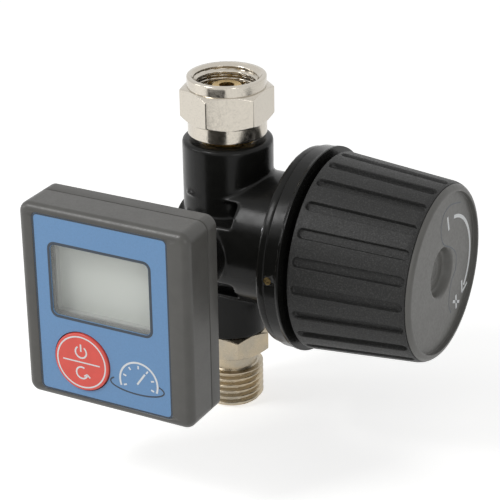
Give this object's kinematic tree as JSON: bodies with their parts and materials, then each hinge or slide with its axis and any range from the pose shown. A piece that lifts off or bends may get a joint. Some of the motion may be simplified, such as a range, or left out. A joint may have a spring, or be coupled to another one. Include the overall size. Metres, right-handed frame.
{
  "type": "air flow regulator",
  "caption": "In-line air regulator for a spray gun: threaded inlet, swivel outlet nut, ribbed side knob and a square digital gauge.",
  "frame": {"origin": "on the flow axis, at the middle of the inlet thread", "axes": "+Z along the flow axis from inlet to outlet, +X along the knob axis out of the knob, -Y out of the gauge's face"},
  "size_m": [0.0683, 0.0716, 0.0742],
  "materials": {
    "black_enamel": "gloss black paint on die-cast metal",
    "nickel": "bright nickel plate on brass",
    "brass": "turned brass",
    "steel": "zinc-plated or spring steel",
    "rubber": "soft black nitrile rubber",
    "seal_ring": "white plastic sealing washer",
    "knob_plastic": "finely textured black plastic",
    "cap_plastic": "smooth grey plastic",
    "case_plastic": "satin warm grey plastic",
    "label_blue": "printed blue film",
    "clear_window": "clear plastic window",
    "display_grey": "blank liquid crystal display",
    "inner_plastic": "moulded inner plastic",
    "board_green": "circuit board",
    "button_red": "red button with a white ring"
  },
  "bodies": {
    "regulator": {"body": "black_enamel", "bonnet": "black_enamel", "bonnet_screws": "steel", "seam_pin": "brass", "inlet_fitting": "nickel", "inlet_seal": "rubber", "swivel_stem": "nickel", "stem_seal": "rubber", "thrust_washer": "brass", "main_spring": "steel", "diaphragm": "rubber", "valve_spring": "steel", "valve_plug": "brass", "plug_seal": "rubber", "gauge_stem": "nickel", "stem_gasket": "seal_ring", "gauge_nut": "brass", "pressure_sensor": "steel", "gauge_front": "case_plastic", "gauge_back": "case_plastic", "case_screws": "steel", "face_label": "label_blue", "window_lens": "clear_window", "lcd_panel": "display_grey", "lcd_frame": "inner_plastic", "circuit_board": "board_green", "tact_switch": "inner_plastic", "coin_cell": "steel", "cell_clip": "steel"},
    "outlet_nut": {"swivel_nut": "nickel"},
    "knob_group": {"knob": "knob_plastic", "knob_cap": "cap_plastic", "knob_screw": "steel", "adjusting_screw": "steel"},
    "travelling_nut": {"spring_seat": "brass"},
    "valve_train": {"poppet": "brass", "valve_seal": "rubber", "relief_seat": "brass", "diaphragm_plate": "steel", "plate_nut": "steel"},
    "button_group": {"power_button": "button_red", "switch_plunger": "inner_plastic"}
  },
  "joints": [
    {"name": "swivel_turn", "type": "hinge", "parent": "regulator", "child": "outlet_nut", "pos_m": [0, 0, 0.0638], "axis": [0, 0, 1], "continuous": true},
    {"name": "knob_turn", "type": "hinge", "parent": "regulator", "child": "knob_group", "pos_m": [0.036, 0, 0.0353], "axis": [-1, 0, 0], "range_deg": [0, 1440]},
    {"name": "seat_travel", "type": "slide", "parent": "regulator", "child": "travelling_nut", "axis": [-1, 0, 0], "range_m": [0, 0.0051], "deforming": ["main_spring"]},
    {"name": "valve_lift", "type": "slide", "parent": "regulator", "child": "valve_train", "axis": [-1, 0, 0], "range_m": [0, 0.0008], "stiffness_N_per_m": 800, "deforming": ["valve_spring", "diaphragm"]},
    {"name": "button_press", "type": "slide", "parent": "regulator", "child": "button_group", "axis": [0, 1, 0], "range_m": [0, 0.0004], "stiffness_N_per_m": 2000}
  ],
  "couplings": [
    {"joint": "seat_travel", "follows": "knob_turn", "m_per_rad": 0.00019894}
  ]
}
